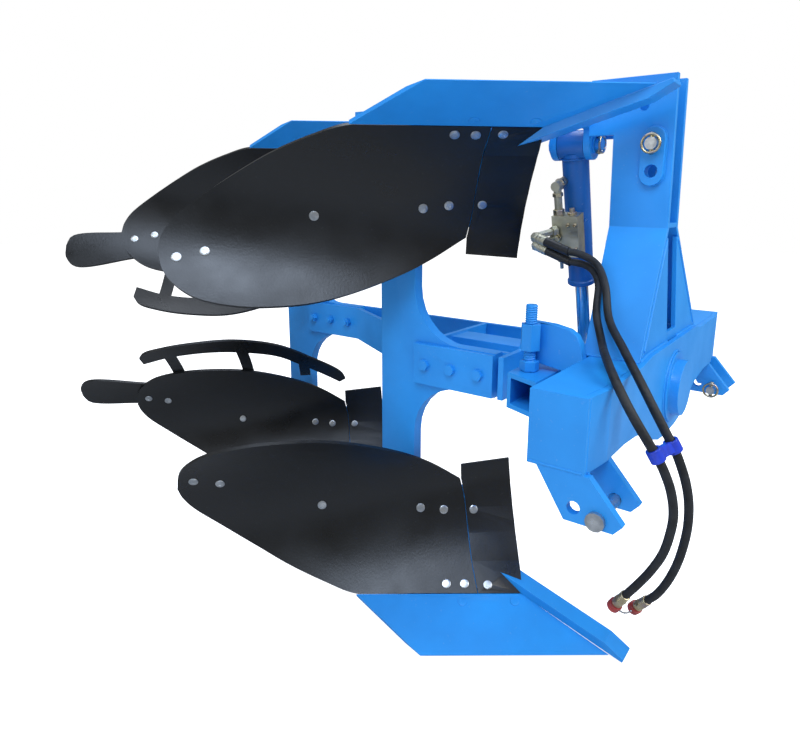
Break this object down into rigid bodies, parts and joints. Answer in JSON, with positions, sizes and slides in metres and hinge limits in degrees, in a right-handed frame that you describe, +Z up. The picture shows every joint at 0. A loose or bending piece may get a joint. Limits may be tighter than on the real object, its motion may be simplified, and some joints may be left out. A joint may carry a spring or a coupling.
{
  "type": "reversible plough",
  "caption": "Mounted reversible plough: upper and lower bodies on a frame that a hydraulic cylinder rolls over under a three-point headstock.",
  "frame": {"origin": "on the ground under the lower points, in the middle of the plough's length and width without its hoses", "axes": "+X the way the plough travels, +Y its left side, +Z up"},
  "size_m": [1.8542, 1.1069, 1.252],
  "materials": {
    "blue_paint": "satin blue paint",
    "black_paint": "gloss black paint",
    "zinc": "zinc plated",
    "bush_bronze": "turned bronze",
    "hose_rubber": "matt black rubber",
    "yellow_zinc": "yellow zinc plated",
    "clamp_plastic": "royal blue"
  },
  "bodies": {
    "headstock": {"cross_beam": "blue_paint", "beam_front_plate": "blue_paint", "bearing_housing": "blue_paint", "bearing_bush": "bush_bronze", "bearing_cap": "blue_paint", "mast_plate_right": "blue_paint", "mast_plate_left": "blue_paint", "mast_front_web": "blue_paint", "mast_shelf": "blue_paint", "top_link_pin": "zinc", "lower_link_pin_right": "zinc", "lower_link_pin_left": "zinc", "cylinder_bracket": "blue_paint", "stop_bracket_right": "blue_paint", "stop_bracket_left": "blue_paint", "pressure_hose": "hose_rubber", "return_hose": "hose_rubber", "hose_clamp": "clamp_plastic", "pressure_coupler": "yellow_zinc", "return_coupler": "yellow_zinc"},
    "turnover_frame": {"turnover_hub": "blue_paint", "turnover_shaft": "zinc", "shaft_nut": "zinc", "closing_plate": "blue_paint", "centre_frame": "blue_paint", "diagonal_beam": "blue_paint", "far_beam": "blue_paint", "clamp_plate": "blue_paint", "leg_front": "blue_paint", "leg_rear": "blue_paint", "crank": "blue_paint", "stop_arm": "blue_paint", "mouldboard_front_upper": "black_paint", "mouldboard_front_lower": "black_paint", "mouldboard_rear_upper": "black_paint", "mouldboard_rear_lower": "black_paint", "shin_front_upper": "black_paint", "shin_front_lower": "black_paint", "shin_rear_upper": "black_paint", "shin_rear_lower": "black_paint", "share_front_upper": "blue_paint", "share_front_lower": "blue_paint", "share_rear_upper": "blue_paint", "share_rear_lower": "blue_paint", "bar_point_front_upper": "blue_paint", "bar_point_front_lower": "blue_paint", "bar_point_rear_upper": "blue_paint", "bar_point_rear_lower": "blue_paint", "frog_front_upper": "blue_paint", "frog_front_lower": "blue_paint", "frog_rear_upper": "blue_paint", "frog_rear_lower": "blue_paint", "trash_bar_rear_upper": "black_paint", "trash_bar_rear_lower": "black_paint"},
    "rod": {"cylinder_rod": "zinc"},
    "barrel": {"cylinder_barrel": "blue_paint", "cylinder_gland": "blue_paint", "valve_block": "zinc"},
    "stop_right": {"stop_screw_right": "blue_paint"},
    "stop_left": {"stop_screw_left": "blue_paint"}
  },
  "joints": [
    {"name": "turnover", "type": "hinge", "parent": "headstock", "child": "turnover_frame", "pos_m": [0.6119, 0.0554, 0.612], "axis": [1, 0, 0], "range_deg": [0, 180]},
    {"name": "rod_swing", "type": "hinge", "parent": "turnover_frame", "child": "rod", "pos_m": [0.5769, 0.2054, 0.612], "axis": [1, 0, 0], "range_deg": [-212.5, 0]},
    {"name": "cylinder_stroke", "type": "slide", "parent": "rod", "child": "barrel", "axis": [0, -0.2796, 0.9601], "range_m": [-0.171, 0]},
    {"name": "stop_screw_right_height", "type": "slide", "parent": "headstock", "child": "stop_right", "axis": [0, 0, 1], "range_m": [0, 0.018]},
    {"name": "stop_screw_left_height", "type": "slide", "parent": "headstock", "child": "stop_left", "axis": [0, 0, 1], "range_m": [0, 0.018]}
  ],
  "couplings": [
    {"joint": "rod_swing", "follows": "turnover", "ratio": -1.1804}
  ]
}
